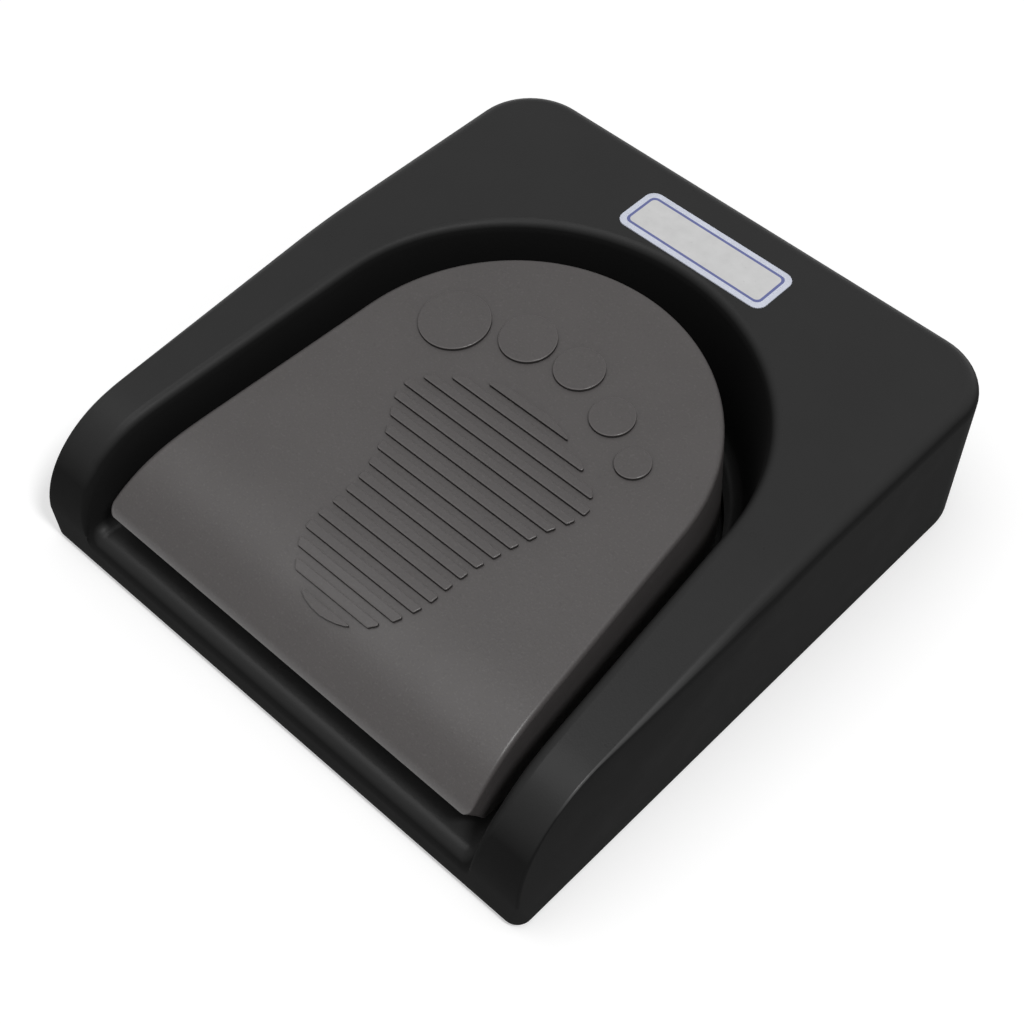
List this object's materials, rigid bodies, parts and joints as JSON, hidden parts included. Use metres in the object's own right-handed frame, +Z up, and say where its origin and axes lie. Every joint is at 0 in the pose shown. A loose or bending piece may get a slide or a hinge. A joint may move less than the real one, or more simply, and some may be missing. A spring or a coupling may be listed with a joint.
{
  "type": "sewing machine foot pedal",
  "caption": "Low foot control with a D-shaped well and a grey tread hinged at the heel, pressed down at the toe against return springs.",
  "frame": {"origin": "under the middle of the housing, on the surface it stands on", "axes": "+X across to the right, +Y from the heel end to the toe end, +Z up"},
  "size_m": [0.106, 0.1156, 0.0302],
  "materials": {
    "housing_black": "fine matte moulded texture",
    "tread_grey": "fine speckled matte texture, warm grey",
    "sticker": "satin printed sticker with a blue line",
    "steel": "drawn steel",
    "zinc": "zinc plated",
    "base_black": "matte moulded texture",
    "rubber": "matte black rubber",
    "board_green": "glossy solder mask",
    "component_dark": "moulded component body",
    "lever_white": "natural nylon",
    "terminal_green": "glossy moulded plastic",
    "capacitor_blue": "glossy sleeve"
  },
  "bodies": {
    "case": {"housing": "housing_black", "label": "sticker", "hinge_pin": "steel", "hinge_clamps": "zinc", "clamp_screws": "zinc", "base_plate": "base_black", "case_screws": "zinc", "rubber_feet": "rubber", "heel_rest_pads": "rubber", "toe_stop_pads": "rubber", "return_spring_left": "steel", "return_spring_right": "steel", "circuit_board": "board_green", "board_screws": "zinc", "sensor_bracket": "zinc", "sensor_body": "component_dark", "sensor_nut": "steel", "lever_spring": "steel", "wire_terminal": "terminal_green", "terminal_screws": "steel", "capacitor": "capacitor_blue", "power_transistor": "component_dark", "cord_grommet": "rubber"},
    "tread": {"tread": "tread_grey"},
    "sensor_arm": {"sensor_shaft": "steel", "sensor_lever": "lever_white"}
  },
  "joints": [
    {"name": "tread_hinge", "type": "hinge", "parent": "case", "child": "tread", "pos_m": [0, -0.04375, 0.0124], "axis": [-1, 0, 0], "range_deg": [0, 6], "stiffness_Nm_per_rad": 1.2, "springref_deg": -2.86, "deforming": ["return_spring_left", "return_spring_right"]},
    {"name": "sensor_pivot", "type": "hinge", "parent": "case", "child": "sensor_arm", "pos_m": [0, -0.01975, 0.0138], "axis": [-1, 0, 0], "range_deg": [0, 14.4], "deforming": ["lever_spring"]}
  ],
  "couplings": [
    {"joint": "sensor_pivot", "follows": "tread_hinge", "ratio": 2.4}
  ]
}
